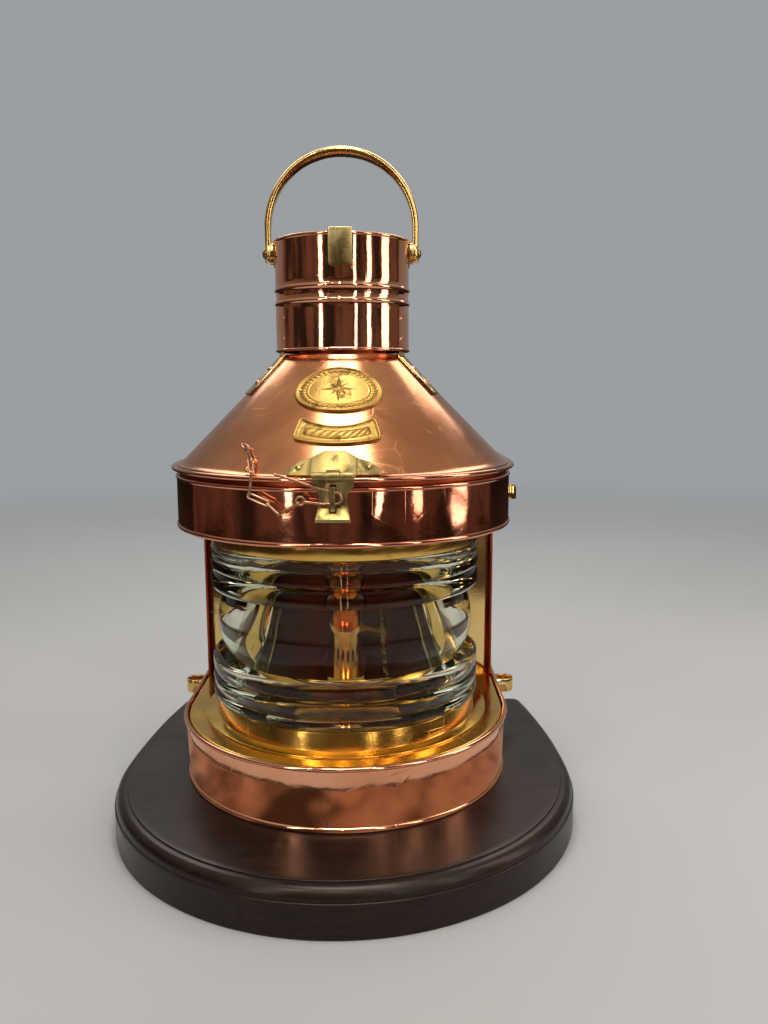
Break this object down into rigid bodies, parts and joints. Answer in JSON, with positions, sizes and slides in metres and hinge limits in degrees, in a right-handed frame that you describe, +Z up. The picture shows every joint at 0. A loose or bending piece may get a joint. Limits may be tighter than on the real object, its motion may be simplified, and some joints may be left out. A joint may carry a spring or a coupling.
{
  "type": "ship lantern",
  "caption": "Copper and brass ship lantern with a ribbed lens on a wooden plinth; the chimney hood opens on a hinge, locks with a hasp, and holds an oil lamp.",
  "frame": {"origin": "centre of the round body's axis on the plinth's underside", "axes": "+Z up along the body's axis; -Y towards the lens and the hasp; +X to the right as seen from the front"},
  "size_m": [0.446, 0.411, 0.6338],
  "materials": {
    "copper": "hand-polished sheet copper, lightly scratched and tarnished",
    "polished_brass": "polished brass with light patina in the corners",
    "aged_brass": "aged brass with a greenish patina, worn bright on the edges",
    "wire": "dull drawn wire",
    "tinned_sheet": "dull tinned sheet, hidden inside",
    "lens_glass": "clear pressed glass with a slight yellow-green tint",
    "painted_wood": "dark ebonised wood, satin varnish",
    "dark_screws": "blued steel, countersunk from below",
    "gasket": "thin dark packing",
    "wick": "woven cotton, charred at the tip"
  },
  "bodies": {
    "lantern_body": {"wooden_plinth": "painted_wood", "plinth_screws": "dark_screws", "base_shell": "copper", "base_floor": "tinned_sheet", "tray": "polished_brass", "lamp_platform": "polished_brass", "lens_seat_ring": "aged_brass", "lens_gasket_lower": "gasket", "lens": "lens_glass", "lens_gasket_upper": "gasket", "lens_top_ring": "aged_brass", "side_plate_left": "polished_brass", "side_plate_right": "polished_brass", "lens_clamps": "aged_brass", "lens_clamp_screws": "aged_brass", "rear_housing": "copper", "band": "copper", "band_deck": "tinned_sheet", "guide_loop_lower_left": "aged_brass", "guide_loop_lower_right": "aged_brass", "guide_loop_upper_left": "aged_brass", "guide_loop_upper_right": "aged_brass", "guide_loop_rivets": "aged_brass", "hasp_staple": "aged_brass", "hood_hinge_lower_leaf": "aged_brass", "hood_hinge_lower_rivets": "copper", "hood_hinge_pin": "aged_brass"},
    "hood": {"hood_brim": "copper", "hood_cone": "copper", "hood_back_panel": "copper", "hood_skirt": "tinned_sheet", "flue_tube": "tinned_sheet", "draught_baffle": "tinned_sheet", "chimney_shell": "copper", "chimney_rivets": "copper", "chimney_bracket_left": "polished_brass", "chimney_bracket_right": "polished_brass", "chimney_bracket_rivets": "copper", "rim_clip": "aged_brass", "bail_lugs": "aged_brass", "bail_pivot_bolts": "aged_brass", "oval_plate": "polished_brass", "oval_plate_pins": "polished_brass", "curved_plate": "polished_brass", "hasp_leaf": "aged_brass", "hasp_rivets": "aged_brass", "hasp_hinge_pin": "aged_brass", "chain_anchor": "wire", "lock_chain": "wire", "hood_hinge_upper_leaf": "aged_brass", "hood_hinge_upper_rivets": "copper"},
    "hasp": {"hasp_strap": "aged_brass"},
    "lock_pin": {"lock_pin": "wire"},
    "bail": {"bail": "polished_brass"},
    "lamp": {"lamp_font": "polished_brass", "burner": "polished_brass", "lamp_chimney": "lens_glass"},
    "wick": {"wick": "wick"},
    "wick_knob": {"wick_knob": "polished_brass"},
    "filler_cap": {"filler_cap": "polished_brass"}
  },
  "joints": [
    {"name": "hood_open", "type": "hinge", "parent": "lantern_body", "child": "hood", "pos_m": [0, 0.1364, 0.3418], "axis": [-1, 0, 0], "range_deg": [0, 100], "deforming": ["lock_chain"]},
    {"name": "bail_swing", "type": "hinge", "parent": "hood", "child": "bail", "pos_m": [0, 0, 0.538], "axis": [1, 0, 0], "range_deg": [-115, 115]},
    {"name": "hasp_swing", "type": "hinge", "parent": "hood", "child": "hasp", "pos_m": [-0.0014, -0.1676, 0.3456], "axis": [-1, 0, 0], "range_deg": [0, 120], "deforming": ["lock_pin", "lock_chain"]},
    {"name": "lock_pin_pull", "type": "slide", "parent": "hood", "child": "lock_pin", "axis": [-1, 0, 0], "range_m": [0, 0.012], "deforming": ["lock_chain"]},
    {"name": "lamp_lift", "type": "slide", "parent": "lantern_body", "child": "lamp", "axis": [0, 0, 1], "range_m": [0, 0.11]},
    {"name": "wick_knob_turn", "type": "hinge", "parent": "lamp", "child": "wick_knob", "pos_m": [0, 0, 0.1622], "axis": [1, 0, 0], "range_deg": [0, 115]},
    {"name": "wick_raise", "type": "slide", "parent": "lamp", "child": "wick", "axis": [0, 0, 1], "range_m": [0, 0.0065]},
    {"name": "filler_cap_turn", "type": "hinge", "parent": "lamp", "child": "filler_cap", "pos_m": [-0.033, 0, 0.15], "axis": [0, 0, 1], "continuous": true}
  ],
  "couplings": [
    {"joint": "wick_raise", "follows": "wick_knob_turn", "m_per_rad": 0.003}
  ]
}
